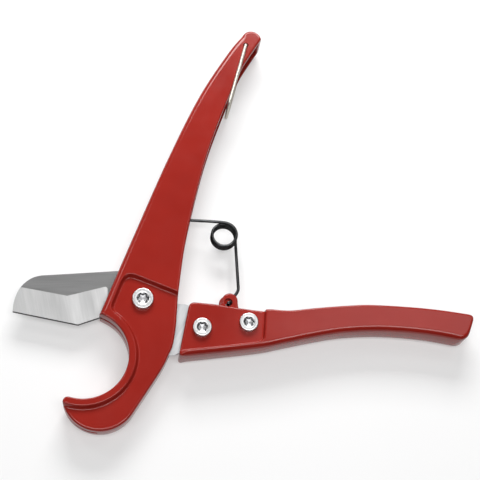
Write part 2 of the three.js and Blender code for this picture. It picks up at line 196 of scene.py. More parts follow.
def shifted(line, distance, closed=True):
    """The line moved to its left, without the points that come too near to it elsewhere."""
    a = np.array(line, float)
    along = np.roll(a, -1, 0) - np.roll(a, 1, 0)
    if not closed:
        along[0], along[-1] = a[1] - a[0], a[-1] - a[-2]
    left = np.stack([-along[:, 1], along[:, 0]], 1) / np.linalg.norm(along, axis=1)[:, None]
    reach = np.broadcast_to(distance, len(a))
    moved = a + left * reach[:, None]
    return moved[nearest(moved, a, closed)[:, 0] > np.abs(reach) - SHIFT_SLACK]


# ---------------------------------------------------------------- castings

# Rings inside a casting's outline, as shares of its edge rounding.
ROUND_STEPS = [1 - math.cos(math.radians(a)) for a in (15, 30, 45, 60, 75, 90)]
FLAT_RING = 1.12
STEP_MARGIN = 0.35
CONVEX_POINTS = 6
FILLET_POINTS = 7
ALL_TRIANGLES = 0
MERGE_DISTANCE = 1e-4


def rounding_drop(depth, radius):
    """How far a rounded edge lies below the face, at a depth in from the outline."""
    short = np.clip(radius - depth, 0, None)
    return radius - np.sqrt(np.clip(radius ** 2 - short ** 2, 0, None))


class Step:
    """A moulded step between two faces: rounded over at its top and filleted at its foot."""

    def __init__(self, line, raised, top=0.55, convex=0.8, fillet=1.0, slope=66):
        self.line, self.raised = line, raised
        angle = math.radians(slope)
        self.height = HANDLE_HALF - PLATE_HALF
        curved = (convex + fillet) * (1 - math.cos(angle))
        wall = (self.height - curved) / math.tan(angle)
        upper = [(convex * math.sin(a), convex * (1 - math.cos(a)))
                 for a in np.linspace(0, angle, CONVEX_POINTS)]
        foot = convex * math.sin(angle) + wall + fillet * math.sin(angle)
        lower = [(foot - fillet * math.sin(a), self.height - fillet * (1 - math.cos(a)))
                 for a in np.linspace(angle, 0, FILLET_POINTS)]
        sloped = [(top - x, z) for x, z in upper + lower]
        profile = [(top + STEP_MARGIN, 0), *sloped, (top - foot - STEP_MARGIN, self.height)]
        self.where = np.array([x for x, _ in profile])
        self.drop = np.array([z for _, z in profile])

    def lines(self):
        """The lines along which the profile turns."""
        return [shifted(self.line, x, closed=False) for x in self.where]

    def heights(self, points):
        """The casting's half thickness at each point."""
        gap = nearest(points, self.line, closed=False)[:, 0]
        signed = np.where(inside(points, self.raised), gap, -gap)
        return HANDLE_HALF - np.interp(signed, self.where[::-1], self.drop[::-1])


def triangulated(rings, lines):
    """Joins all the lines' points in triangles and keeps those inside the first ring."""
    points, edges = [], []
    for ring in rings:
        start = len(points)
        points.extend(ring)
        edges.extend((start + i, start + (i + 1) % len(ring)) for i in range(len(ring)))
    for line in lines:
        start = len(points)
        points.extend(line)
        edges.extend((start + i, start + i + 1) for i in range(len(line) - 1))
    flat = [Vector((float(x), float(y))) for x, y in points]
    found, _, faces, *_ = delaunay_2d_cdt(flat, edges, [], ALL_TRIANGLES, MERGE_DISTANCE)
    where = np.array([(v.x, v.y) for v in found])
    middles = np.array([where[list(f)].mean(0) for f in faces])
    kept = inside(middles, rings[0])
    return where, [f for f, keep in zip(faces, kept) if keep]


def mesh_object(name, bm):
    """An object in the scene, made from the bmesh."""
    mesh = bpy.data.meshes.new(name)
    bm.to_mesh(mesh)
    bm.free()
    made = bpy.data.objects.new(name, mesh)
    bpy.context.scene.collection.objects.link(made)
    return made


def two_faced(name, where, faces, heights):
    """A solid with the same relief on its front and its rear, and a wall round its outline."""
    bm = bmesh.new()
    front = [bm.verts.new(place(x, y, z)) for (x, y), z in zip(where, heights)]
    rear = [bm.verts.new(place(x, y, -z)) for (x, y), z in zip(where, heights)]
    for f in faces:
        bm.faces.new([front[i] for i in f])
        bm.faces.new([rear[i] for i in reversed(f)])
    across = dict(zip(front, rear))
    for edge in [e for e in bm.edges if e.is_boundary and e.verts[0] in across]:
        a, b = edge.verts
        bm.faces.new([a, b, across[b], across[a]])
    bmesh.ops.delete(bm, geom=[v for v in bm.verts if not v.link_faces], context="VERTS")
    bmesh.ops.recalc_face_normals(bm, faces=bm.faces)
    return mesh_object(name, bm)


def casting(name, outline, half=None, step=None):
    """A moulded solid: rounded edges all round and, with a step, two levels."""
    points, radii = outline.closed()
    rings = [points] + [shifted(points, radii * share) for share in (*ROUND_STEPS, FLAT_RING)]
    where, faces = triangulated(rings, step.lines() if step else [])
    near = nearest(where, points, closed=True)
    run = near[:, 1].astype(int)
    radius = radii[run] * (1 - near[:, 2]) + radii[(run + 1) % len(radii)] * near[:, 2]
    level = step.heights(where) if step else np.full(len(where), half)
    return two_faced(name, where, faces, level - rounding_drop(near[:, 0], radius))


# ---------------------------------------------------------------- cutting and joining


def prism(polygon, low, high):
    """A straight solid on an outline."""
    bm = bmesh.new()
    lower = [bm.verts.new(place(x, y, low)) for x, y in polygon]
    upper = [bm.verts.new(place(x, y, high)) for x, y in polygon]
    bm.faces.new(lower)
    bm.faces.new(upper)
    for i in range(len(polygon)):
        j = (i + 1) % len(polygon)
        bm.faces.new([lower[i], lower[j], upper[j], upper[i]])
    bmesh.ops.recalc_face_normals(bm, faces=bm.faces)
    return mesh_object("cutter", bm)


def disc(centre, radius, sides=64):
    """A regular polygon, for round holes and nut pockets."""
    return [(centre[0] + radius * math.cos(a), centre[1] + radius * math.sin(a))
            for a in np.linspace(0, 2 * math.pi, sides, endpoint=False)]


def combined(target, others, operation):
    """Cuts the other solids out of the target, or joins them to it, and removes them."""
    for other in others:
        modifier = target.modifiers.new("combine", "BOOLEAN")
        modifier.operation = operation
        modifier.solver = "MANIFOLD"
        modifier.object = other
    bpy.context.view_layer.update()
    evaluated = target.evaluated_get(bpy.context.evaluated_depsgraph_get())
    finished = bpy.data.meshes.new_from_object(evaluated)
    target.modifiers.clear()
    old = target.data
    target.data = finished
    finished.name = target.name
    bpy.data.meshes.remove(old)
    for other in others:
        bpy.data.meshes.remove(other.data)
    return target


def shaded(piece, sharp_degrees=34):
    """Smooth shading, broken at the sharp edges."""
    piece.data.shade_smooth()
    piece.data.set_sharp_from_angle(angle=math.radians(sharp_degrees))
    return piece


def dressed(piece, body, slot, material, *replaced):
    """Gives a piece its material and its body, and hides the CAD nodes that it stands for."""
    piece.data.materials.clear()
    for m in material if isinstance(material, (list, tuple)) else [material]:
        piece.data.materials.append(m)
    if body:
        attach(piece, body)
    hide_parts(*replaced)
    return piece


# ---------------------------------------------------------------- jaw and upper handle

JAW_CENTRE = (-28.8, -28.2)
JAW_RADIUS = 21.8
RIM_RADIUS = 25.4
HOOK_CENTRE = (-20.8, -47.0)
HOOK_RADIUS = 18.4
HOOK_TIP_CENTRE = (-36.24, -51.23)
HOOK_TIP_RADIUS = 2.4
TIP_CENTRE = (60.6, 147.95)
TIP_RADIUS = 5.4
# Angles about those centres, in degrees, where the outline's arcs and the rim start and end.
CORNER_ANGLE = 69.9
CORNER_LEAD = 3
JAW_END_ANGLE = -107.9
HOOK_TIP_ANGLES = (72.1, 195.3)
HOOK_ANGLES = (-164.7, -33.7)
TIP_ANGLES = (4, 143)
RIM_ANGLES = (-118, 53)
BACK_EDGE = [(-5.4, 31.1), (13.5, 76.0), (31.0, 112.9), (47.6, 140.0), (56.2, 151.1)]
STEP_END = (17.7, 3.1)
FRONT_EDGE = [(58.9, 137.3), (53.6, 128.0), (46.2, 111.0), (36.3, 84.8), (29.5, 62.0),
              (22.1, 30.9), STEP_END]
THROAT_EDGE = [(16.3, -13.6), (14.6, -23.0), (12.2, -28.6), (8.3, -36.3)]
PIVOT_SHANK = 3.0
BUSH_OUTER = 4.5
THRUST_SEAT = 7.8
THRUST_SEAT_HALF = 1.7
NUT_SEAT = 3.1
NUT_ACROSS = 1.9
BAIL_HOLE = (57.3, 144.1)
BAIL_EYE = 1.5
GAP = 0.3

BACK_WALL = 2.6
CHANNEL_END_RADIUS = 22.6
CHANNEL_END_ANGLES = (105, 5)
CHANNEL_LOW = 24
# The step's straight runs, behind the pivot and above it, and the corner points of its bends.
RIM_CORNER = (-16.6, -5.6)
STEP_SIDE = [(-15.0, -1.8), (-11.2, 7.9)]
STEP_CORNER = (-8.8, 14.4)
STEP_ACROSS = [(-3.0, 11.95), (20.5, 1.9)]

BACK_ROUNDING = 2.6
JAW_ROUNDING = 0.8
FRONT_ROUNDING = 1.1
HOOK_ROUNDING = 1.2
TIP_ROUNDING = FRONT_ROUNDING * 1.3


def on_circle(centre, radius, degrees):
    """The circle's point at an angle."""
    angle = math.radians(degrees)
    return (centre[0] + radius * math.cos(angle), centre[1] + radius * math.sin(angle))


JAW_CORNER = on_circle(JAW_CENTRE, JAW_RADIUS, CORNER_ANGLE)


def frame_outline():
    """Runs with the casting on its left."""
    line = Outline()
    line.add(arc(JAW_CENTRE, JAW_RADIUS, CORNER_ANGLE - CORNER_LEAD, JAW_END_ANGLE), JAW_ROUNDING)
    line.add(arc(HOOK_TIP_CENTRE, HOOK_TIP_RADIUS, *HOOK_TIP_ANGLES), JAW_ROUNDING)
    line.add(arc(HOOK_CENTRE, HOOK_RADIUS, *HOOK_ANGLES), HOOK_ROUNDING)
    hook_end = on_circle(HOOK_CENTRE, HOOK_RADIUS, HOOK_ANGLES[1])
    line.add(curve(hook_end, *THROAT_EDGE[::-1]), FRONT_ROUNDING)
    line.add(curve(THROAT_EDGE[0], STEP_END), FRONT_ROUNDING)
    tip_start = on_circle(TIP_CENTRE, TIP_RADIUS, TIP_ANGLES[0])
    line.add(curve(*FRONT_EDGE[::-1], tip_start), FRONT_ROUNDING)
    line.add(arc(TIP_CENTRE, TIP_RADIUS, *TIP_ANGLES), TIP_ROUNDING)
    line.add(curve(*BACK_EDGE[::-1], JAW_CORNER), BACK_ROUNDING)
    return line


def raised_step():
    """The step goes round the hooked jaw's rim, up behind the pivot and across the handle."""
    line = arc(JAW_CENTRE, RIM_RADIUS, *RIM_ANGLES)
    line += bend(line[-1], RIM_CORNER, STEP_SIDE[0])
    line += straight(*STEP_SIDE)
    line += bend(STEP_SIDE[1], STEP_CORNER, STEP_ACROSS[0])
    line += straight(*STEP_ACROSS)
    clean = [q for i, q in enumerate(line) if i == 0 or math.dist(q, line[i - 1]) > SAME_POINT]
    raised = clean + [(90.0, 2.0), (90.0, 170.0), (-90.0, 170.0), (-90.0, clean[0][1])]
    return Step(clean, raised)


def channel_outline():
    """The hollow that takes the spring and the blade holder, open past the handle's front edge."""
    wall = shifted(curve(*BACK_EDGE[::-1], JAW_CORNER), BACK_WALL, closed=False)
    wall = [tuple(q) for q in wall if q[1] > CHANNEL_LOW]
    stop = arc(ORIGIN, CHANNEL_END_RADIUS, *CHANNEL_END_ANGLES)
    return [*wall, *stop, (60, 20), (90, 143), (62.5, 147.2)]


# The blade's slot, cut through the jaw and past its edges.
SLOT_OUTLINE = [(-60, 16.9), (2, 16.9), (8, 24), (60, 24), (60, -31), (8, -31), (2, -32.5),
                (-2.2, -35.5), (-23.3, -67), (-30, -80), (-60, -80)]
THROUGH = 12.0


def make_jaw_frame(paint):
    """The hooked jaw and the upper handle, in one casting."""
    body = casting("jaw_and_upper_handle", frame_outline(), step=raised_step())
    cutters = [
        prism(channel_outline(), -CHANNEL_HALF, CHANNEL_HALF),
        prism(SLOT_OUTLINE, -SLOT_HALF, SLOT_HALF),
        prism(disc(ORIGIN, THRUST_SEAT), -THRUST_SEAT_HALF, THRUST_SEAT_HALF),
        prism(disc(ORIGIN, PIVOT_SHANK + GAP), -THROUGH, THROUGH),
        prism(disc(ORIGIN, PIVOT_SHANK * NUT_ACROSS + GAP, 6), -THROUGH, -NUT_SEAT),
        prism(disc(BAIL_HOLE, BAIL_EYE, 32), -THROUGH, THROUGH),
    ]
    combined(body, cutters, "DIFFERENCE")
    return dressed(shaded(body), FRAME_BODY, "red_paint", paint, "jaw_frame")


# ---------------------------------------------------------------- lower handle

SCREWS = [(29.1, -15.0), (52.4, -12.6)]
SCREW_SHANK = 2.5
FRONT_EAR = ((43.6, -0.5), 4.0)
REAR_EAR = ((43.1, -0.3), 4.5)
LUG_FLARE = 2.4
LUG_FOOT = 6.5
LUG_TOE = 0.8
LUG_EYE = (42.8, -1.5)
LUG_EYE_RADIUS = 2.1
REAR_EYE_RADIUS = 1.2
LUG_INNER = 2.0
LUG_OUTER = 4.4
HOLDER_TOP = [(26.0, -1.45), (36.5, -2.65), (48.0, -4.65), (60.6, -6.5)]
STEP_TOP = (61.0, -5.85)
STEP_FOOT = (59.3, -22.3)
GRIP_TOP = [(64.6, -6.1), (73.5, -6.75), (86.8, -5.55), (102.5, -4.45), (115.1, -4.15),
            (134.0, -5.35), (149.7, -7.05), (165.0, -9.45)]
UNDER_EDGE = [(19.6, -29.5), (31.0, -28.45), (43.8, -27.2), (59.1, -25.5), (69.4, -23.5),
              (84.0, -20.65), (97.5, -18.5), (111.2, -17.6), (125.0, -17.85), (142.5, -19.6),
              (158.0, -22.5)]
GRIP_END = [(164.6, -19.3), (167.0, -13.2)]
LEFT_EDGE = [(17.6, -27.3), (22.6, -4.4)]
HOLDER_RIM = 3.0
UNDER_WALL = 2.4
HOLLOW_START = 67.0
HOLLOW_END = [(162.4, -18.4), (164.4, 10.0)]
HOLLOW_MOUTH = 10.0
TANG_POCKET = [(10, 5), (37.2, 5), (37.6, -4.0), (40.4, -7.1), (55.4, -8.9), (56.5, -10.0),
               (56.5, -19.1), (55.3, -20.3), (25.0, -24.3), (10, -31)]
LEG_GROOVE = [(38.0, 6), (64.0, 6), (64.0, -6.85), (41.0, -6.85)]

UNDER_ROUNDING = 2.7
TOP_ROUNDING = 1.0
END_ROUNDING = 1.3
LUG_ROUNDING = 1.1
STEP_BEND = 2.4
STEP_ABOVE = 6
RIM_BEYOND = 10


def handle_outline():
    """Runs with the casting on its left."""
    line = Outline()
    line.add(bend(LEFT_EDGE[0], (17.1, -29.8), UNDER_EDGE[0]), TOP_ROUNDING)
    line.add(curve(*UNDER_EDGE), UNDER_ROUNDING)
    line.add(bend(UNDER_EDGE[-1], (162.8, -23.3), GRIP_END[0]), END_ROUNDING * 1.5)
    line.add(straight(*GRIP_END), END_ROUNDING)
    line.add(bend(GRIP_END[1], (168.3, -9.9), GRIP_TOP[-1]), END_ROUNDING)
    line.add(curve(*GRIP_TOP[::-1]), TOP_ROUNDING)
    line.add(bend(GRIP_TOP[0], STEP_TOP, (60.9, -6.35)), TOP_ROUNDING)
    line.add(curve(*HOLDER_TOP[::-1]), TOP_ROUNDING)
    line.add(bend(HOLDER_TOP[0], (23.2, -1.35), LEFT_EDGE[1]), TOP_ROUNDING)
    line.add(straight(LEFT_EDGE[1], LEFT_EDGE[0]), TOP_ROUNDING)
    return line


def grip_step():
    """The step comes down behind the screws, turns, and runs left as the rim's upper edge."""
    top, foot = np.array(STEP_TOP), np.array(STEP_FOOT)
    down = (foot - top) / np.linalg.norm(foot - top)
    rim = shifted(curve(*UNDER_EDGE[:4]), HOLDER_RIM, closed=False)[::-1]
    rim = [tuple(q) for q in rim if q[0] < foot[0] - STEP_BEND]
    left = np.array(rim[-1]) - np.array(rim[-4])
    line = straight(top - down * STEP_ABOVE, foot - down * STEP_BEND)
    line += bend(line[-1], foot, rim[0])[1:] + rim[1:]
    line += straight(rim[-1], np.array(rim[-1]) + left / np.linalg.norm(left) * RIM_BEYOND)[1:]
    raised = line + [(line[-1][0], -60.0), (200.0, -60.0), (200.0, 30.0)]
    return Step(line, raised, top=0.75, convex=0.45, fillet=0.6, slope=76)


def lug_ear(centre, radius, low, high):
    """One ear of the spring lug, with its foot running out into the handle's top."""
    x, y = centre
    line = Outline()
    left, right = x - radius, x + radius
    foot = straight((left - LUG_FLARE, y - LUG_FOOT), (right + LUG_TOE, y - LUG_FOOT))
    line.add(foot, LUG_ROUNDING)
    line.add(bend((right + LUG_TOE, y - 5.0), (right, y - 4.0), (right, y - 1.0)), LUG_ROUNDING)
    line.add(arc(centre, radius, 0, 180), LUG_ROUNDING)
    flare = bend((left, y - 0.5), (left - 0.6, y - 2.2), (left - LUG_FLARE, y - 4.0))
    line.add(flare, LUG_ROUNDING)
    ear = casting("ear", line, half=(high - low) / 2)
    ear.data.transform(Matrix.Translation((0, 0, (low + high) / 2 * MM)))
    return ear


def make_lower_handle(paint):
    """The blade holder, the spring lug and the hollow grip, in one casting."""
    body = casting("lower_handle_casting", handle_outline(), step=grip_step())
    floor = shifted(curve(*UNDER_EDGE[3:]), UNDER_WALL, closed=False)
    floor = [tuple(q) for q in floor if q[0] > HOLLOW_START]
    hollow = [(HOLLOW_START, HOLLOW_MOUTH), (HOLLOW_START, floor[0][1]), *floor, *HOLLOW_END]
    combined(body, [prism(LEG_GROOVE, -LUG_INNER, LUG_INNER)], "DIFFERENCE")
    ears = [
        lug_ear(*FRONT_EAR, LUG_INNER, LUG_OUTER),
        lug_ear(*REAR_EAR, -LUG_OUTER, -LUG_INNER),
    ]
    combined(body, ears, "UNION")
    cutters = [
        prism(hollow, -CHANNEL_HALF, CHANNEL_HALF),
        prism(TANG_POCKET, -SLOT_HALF, SLOT_HALF),
        prism(disc(LUG_EYE, LUG_EYE_RADIUS, 48), 0, LUG_OUTER + 1),
        prism(disc(LUG_EYE, REAR_EYE_RADIUS, 48), -LUG_OUTER - 1, 0),
    ]
    for centre in SCREWS:
        cutters.append(prism(disc(centre, SCREW_SHANK + GAP), -THROUGH, THROUGH))
        cutters.append(prism(disc(centre, SCREW_SHANK * NUT_ACROSS + GAP, 6), -THROUGH, -NUT_SEAT))
    combined(body, cutters, "DIFFERENCE")
    return dressed(shaded(body), HANDLE_BODY, "red_paint", paint, "lower_handle")


# ---------------------------------------------------------------- blade

BLADE_TIP = (-63.9, -4.7)
BLADE_POINT = (-31.9, -11.8)
BLADE_HEEL = (-16.0, -6.4)
GRIND_NOSE = (-60.2, 8.2)
GRIND_APEX = (-37.3, 3.5)
GRIND_HEEL = (-19.3, 8.0)
GRIND_END = -17.3
GRIND_CORNER = 2.0
GRIND_BLEND = 0.4
EDGE_LAND = 0.05
HONED_WIDTH = 0.55
HONED_HALF = 0.3
HONED_OVERRUN = (40, 80)
NOSE_OVERRUN = 1.3
BLADE_CUT = 5
TANG_START = 4.0
HEEL_EDGE = [(-10.5, -10.5), (-4.6, -17.5), (3.0, -25.0), (13.2, -27.6), (20.7, -25.2),
             (24.2, -23.6)]
TANG_CORNER = (54.0, -19.8)
TANG_TOP = [(54.0, -9.2), (40.2, -7.5), (37.0, -4.6), (25.5, -3.0), (21.2, -1.2), (13.6, -1.2)]
PIVOT_EDGE = [(8.5, 3.4), (3.0, 9.8), (-3.0, 14.9), (-12.7, 16.5)]
NOSE_EDGE = [(-50.2, 14.3), (-53.8, 13.4), (-57.4, 11.2), (-60.4, 8.0), (-62.4, 4.1),
             (-63.6, -0.6)]
PLATE, GROUND, TANG, HONED = range(4)


def blade_outline():
    """Runs with the blade on its left."""
    line = Outline()
    stretches = [
        straight(BLADE_TIP, BLADE_POINT),
        straight(BLADE_POINT, BLADE_HEEL),
        curve(BLADE_HEEL, *HEEL_EDGE),
        straight(HEEL_EDGE[-1], TANG_CORNER),
        bend(TANG_CORNER, (56.0, -19.6), (56.0, -17.8)),
        bend((56.0, -11.2), (56.0, -9.2), TANG_TOP[0]),
        *[straight(a, b) for a, b in zip(TANG_TOP[:-1], TANG_TOP[1:])],
        curve(TANG_TOP[-1], *PIVOT_EDGE),
        straight(PIVOT_EDGE[-1], NOSE_EDGE[0]),
        curve(*NOSE_EDGE, BLADE_TIP),
    ]
    for stretch in stretches:
        line.add(stretch, 0)
    return line.closed()[0]


class GroundFace:
    """One ground face of the blade, between a cutting edge and a straight grind line."""

    def __init__(self, start, end, grind_start, grind_end):
        self.start = np.array(start)
        along = np.array(end) - self.start
        self.along = along / np.linalg.norm(along)
        self.left = np.array([-self.along[1], self.along[0]])
        ends = np.array([grind_start, grind_end]) - self.start
        places, widths = ends @ self.along, ends @ self.left
        self.taper = (widths[1] - widths[0]) / (places[1] - places[0])
        self.width = widths[0] - self.taper * places[0]

    def depth(self, points):
        """How far in from the cutting edge the points lie."""
        return (points - self.start) @ self.left

    def share(self, points):
        """0 at the honed edge and 1 at the grind line."""
        width = self.width + self.taper * ((points - self.start) @ self.along)
        return (self.depth(points) - HONED_WIDTH) / (width - HONED_WIDTH)

    def honed_line(self):
        """The honing's inner border, run on past both ends of the edge."""
        inner = self.start + self.left * HONED_WIDTH
        before, after = HONED_OVERRUN
        return [inner - self.along * before, inner + self.along * after]


GROUND_FACES = [
    GroundFace(BLADE_TIP, BLADE_POINT, GRIND_NOSE, GRIND_APEX),
    GroundFace(BLADE_POINT, BLADE_HEEL, GRIND_APEX, GRIND_HEEL),
]


def grind_end():
    """The right-hand end of the grinding: down from the grind line, round a corner."""
    apex, heel = np.array(GRIND_APEX), np.array(GRIND_HEEL)
    slope = (heel - apex) / (heel - apex)[0]
    corner = apex + slope * (GRIND_END - apex[0])
    below = (GRIND_END, corner[1] - GRIND_CORNER)
    return bend(corner - slope * GRIND_CORNER, corner, below) + [(GRIND_END, -30.0)]


def ground_zone():
    """The area that the grinding covers."""
    nose, apex = np.array(GRIND_NOSE), np.array(GRIND_APEX)
    return [tuple(apex + (nose - apex) * NOSE_OVERRUN), GRIND_APEX, *grind_end(), (-90.0, -30.0)]


def ground_half(points):
    """The blade's half thickness, ground from both sides and honed along the edges."""
    share = np.min([face.share(points) for face in GROUND_FACES], axis=0)
    depth = np.min([face.depth(points) for face in GROUND_FACES], axis=0)
    honed = np.interp(depth, [0, HONED_WIDTH], [EDGE_LAND, HONED_HALF])
    sloped = HONED_HALF + (BLADE_HALF - HONED_HALF) * np.clip(share, 0, 1)
    ground = np.where(share > 0, sloped, honed)
    gap = nearest(points, grind_end(), closed=False)[:, 0]
    fade = np.where(inside(points, ground_zone()), np.clip(1 - gap / GRIND_BLEND, 0, 1), 1)
    return ground + (BLADE_HALF - ground) * fade


def make_blade(*steels):
    """A flat plate ground from both sides to two cutting edges.

    The steels are those of the plate, the ground faces and the tang, and a near-black one on the
    honed edges that is painted shade.
    """
    end = grind_end()
    lines = [face.honed_line() for face in GROUND_FACES]
    lines += [ground_zone()[:-1], shifted(end, -GRIND_BLEND, closed=False)]
    lines += [[BLADE_POINT, GRIND_APEX]]
    where, faces = triangulated([blade_outline()], lines)
    blade = two_faced("blade_plate", where, faces, ground_half(where))
    cutters = [prism(disc(ORIGIN, BUSH_OUTER + GAP), -BLADE_CUT, BLADE_CUT)]
    cutters += [prism(disc(centre, SCREW_SHANK + GAP), -BLADE_CUT, BLADE_CUT) for centre in SCREWS]
    combined(blade, cutters, "DIFFERENCE")
    dressed(blade, HANDLE_BODY, "blade_steel", steels, "blade")
    middles = np.array([(face.center - PIVOT) / MM for face in blade.data.polygons])[:, :2]
    ground = inside(middles, ground_zone())
    honed = np.min([face.depth(middles) for face in GROUND_FACES], axis=0) < HONED_WIDTH
    for face, middle, is_ground, is_honed in zip(blade.data.polygons, middles, ground, honed):
        face.use_smooth = False
        face.material_index = PLATE
        if middle[0] > TANG_START:
            face.material_index = TANG
        elif is_ground:
            # The honed faces take the near-black steel: painted shade along the cutting edges.
            face.material_index = HONED if is_honed else GROUND


# ---------------------------------------------------------------- fasteners

PIVOT_HEAD = 5.3
SCREW_HEAD = 4.7
NUT_THICK = 2.6
NUT_CHAMFER = 0.45
LOCK_THICK = 1.0
THREAD_PITCH = 0.8
THREAD_DEPTH = 0.32
HEAD_EDGE = 0.45
SOCKET_SHARE = 0.56
SOCKET_DEPTH = 1.5
SEAT_GAP = 0.02
THREAD_LOW = 0.6
THREAD_HIGH = -1.6
THREAD_RINGS = 8
THREAD_FADE = 6


def turned(name, centre, profile, sides=72, ring=False):
    """A solid turned from (radius, height) pairs, where either may be a function of the angle."""
    bm = bmesh.new()
    loops = []
    for radius, height in profile:
        loop = []
        for a in np.linspace(0, 2 * math.pi, sides, endpoint=False):
            r = radius(a) if callable(radius) else radius
            h = height(a) if callable(height) else height
            x, y = centre[0] + r * math.cos(a), centre[1] + r * math.sin(a)
            loop.append(bm.verts.new(place(x, y, h)))
        loops.append(loop)
    following = loops[1:] + loops[:1] if ring else loops[1:]
    for lower, upper in zip(loops, following):
        for i in range(sides):
            j = (i + 1) % sides
            bm.faces.new([lower[i], lower[j], upper[j], upper[i]])
    if not ring:
        bm.faces.new(loops[0][::-1])
        bm.faces.new(loops[-1])
    bmesh.ops.recalc_face_normals(bm, faces=bm.faces)
    return mesh_object(name, bm)


def lobes(radius, depth):
    """The outline of a six-lobe socket."""
    return lambda a: radius * (1 - depth + depth * math.cos(6 * a))


def thread(shank, low, high):
    """A helical thread between two heights, one ring for each eighth of a turn."""
    rings = []
    count = int((high - low) / (THREAD_PITCH / THREAD_RINGS))
    for i in range(count + 1):
        z = low + (high - low) * i / count
        run_out = min(1, i / THREAD_FADE, (count - i) / THREAD_FADE)

        def radius(a, z=z, run_out=run_out):
            turn = (z / THREAD_PITCH - a / (2 * math.pi)) % 1
            return shank - THREAD_DEPTH * run_out * (1 - abs(2 * turn - 1))

        rings.append((radius, z))
    return rings


def make_screw(name, centre, shank, head, metals, node, body):
    """A low round head with a six-lobe socket, darkened with painted shade, on a shank threaded at
    its end.
    """
    top = HANDLE_HALF
    seat = PLATE_HALF + SEAT_GAP
    socket = head * SOCKET_SHARE
    floor = top - SOCKET_DEPTH
    profile = [(0.02, -top), (shank - 0.5, -top), (shank, -top + 0.5)]
    profile += thread(shank, -top + THREAD_LOW, THREAD_HIGH)
    profile += [(shank, -1.5), (shank, seat), (head - 0.35, seat)]
    profile += [(head - 0.12, seat + 0.08), (head, seat + 0.3)]
    profile += [(head - HEAD_EDGE * (1 - math.cos(a)), top - HEAD_EDGE * (1 - math.sin(a)))
                for a in np.linspace(0, math.pi / 2, 6)]
    profile += [(socket + 0.3, top), (socket + 0.1, top - 0.06), (lobes(socket, 0.04), top - 0.2)]
    profile += [(lobes(socket * 0.96, 0.12), top - 0.32), (lobes(socket * 0.93, 0.16), top - 0.6)]
    profile += [(lobes(socket * 0.9, 0.16), floor + 0.15), (lobes(socket * 0.8, 0.12), floor)]
    profile += [(socket * 0.5, floor - 0.05), (0.02, floor - 0.5)]
    screw = shaded(turned(name, centre, profile), 40)
    dressed(screw, body, "chrome_screw", metals, node)
    axis = place(*centre)
    # The faces inside the socket take the second, darker metal: painted shade in the recess.
    for face in screw.data.polygons:
        reach = (face.center - axis).to_2d().length / MM
        if face.center.z > axis.z + (floor - 0.6) * MM and reach < socket:
            face.material_index = 1


def make_nut(name, centre, shank, zinc, node, body):
    """A hexagon nut with chamfered corners and a plain bore, chamfered at both ends."""
    high = -NUT_SEAT - LOCK_THICK - 2 * GAP
    low = high - NUT_THICK
    corner = shank * NUT_ACROSS
    flat = corner * math.cos(math.pi / 6)

    def hexagon(a):
        return flat / math.cos((a + math.pi / 6) % (math.pi / 3) - math.pi / 6)

    def chamfered(rise, level):
        return lambda a: level + rise * max(0.0, hexagon(a) - flat) * 0.58

    hole = shank + GAP / 2
    profile = [
        (hole + NUT_CHAMFER, low), (flat * 0.97, low), (hexagon, chamfered(1, low)),
        (hexagon, chamfered(-1, high)), (flat * 0.97, high), (hole + NUT_CHAMFER, high),
        (hole, high - NUT_CHAMFER), (hole, low + NUT_CHAMFER),
    ]
    nut = shaded(turned(name, centre, profile, sides=96, ring=True), 24)
    return dressed(nut, body, "zinc_steel", zinc, node)


# ---------------------------------------------------------------- wires

SPRING_WIRE = 0.78
SPRING_HOOK = (42.8, -1.8)
LEG_CORNER = (48.7, 6.3)
SPRING_COIL = (42.2, 35.5)
SPRING_TIP = (6.5, 44.9)
SPRING_BEND = 1.6
LEG_LEVEL = -0.9
COIL_RADIUS = 6.2
COIL_TURNS = 3.25
COIL_PITCH = 2.12
COIL_STEP = 6
UPPER_LEG_LEAD = 12
UPPER_LEG_BOW = (-1.6, 1.1, -0.6)
UPPER_LEG_POINTS = 24
TIP_LEVEL = 0.6
BAIL_WIRE = 0.85
BAIL_BAR = (46.7, 107.9)
BAIL_HALF = 8.8
BAIL_BEND = 1.6
BAIL_INSIDE = 0.6
DOME = 0.4
DOME_ANGLES = (40, 70)


def rounded_path(points, radius):
    """Straight runs between the points, with every corner rounded."""
    points = [np.array(q, float) for q in points]
    path = [points[0]]
    for before, corner, after in zip(points[:-2], points[1:-1], points[2:]):
        start = corner + (before - corner) / np.linalg.norm(before - corner) * radius
        end = corner + (after - corner) / np.linalg.norm(after - corner) * radius
        path += [(1 - t) ** 2 * start + 2 * t * (1 - t) * corner + t * t * end
                 for t in np.linspace(0, 1, CORNER_RUNS + 1)]
    return path + [points[-1]]


def even_path(points, spacing):
    """The same path with points at an even spacing."""
    p = np.array(points)
    along = np.concatenate([[0], np.cumsum(np.linalg.norm(np.diff(p, axis=0), axis=1))])
    steps = np.linspace(0, along[-1], int(along[-1] / spacing) + 1)
    return np.stack([np.interp(steps, along, p[:, k]) for k in range(3)], 1)


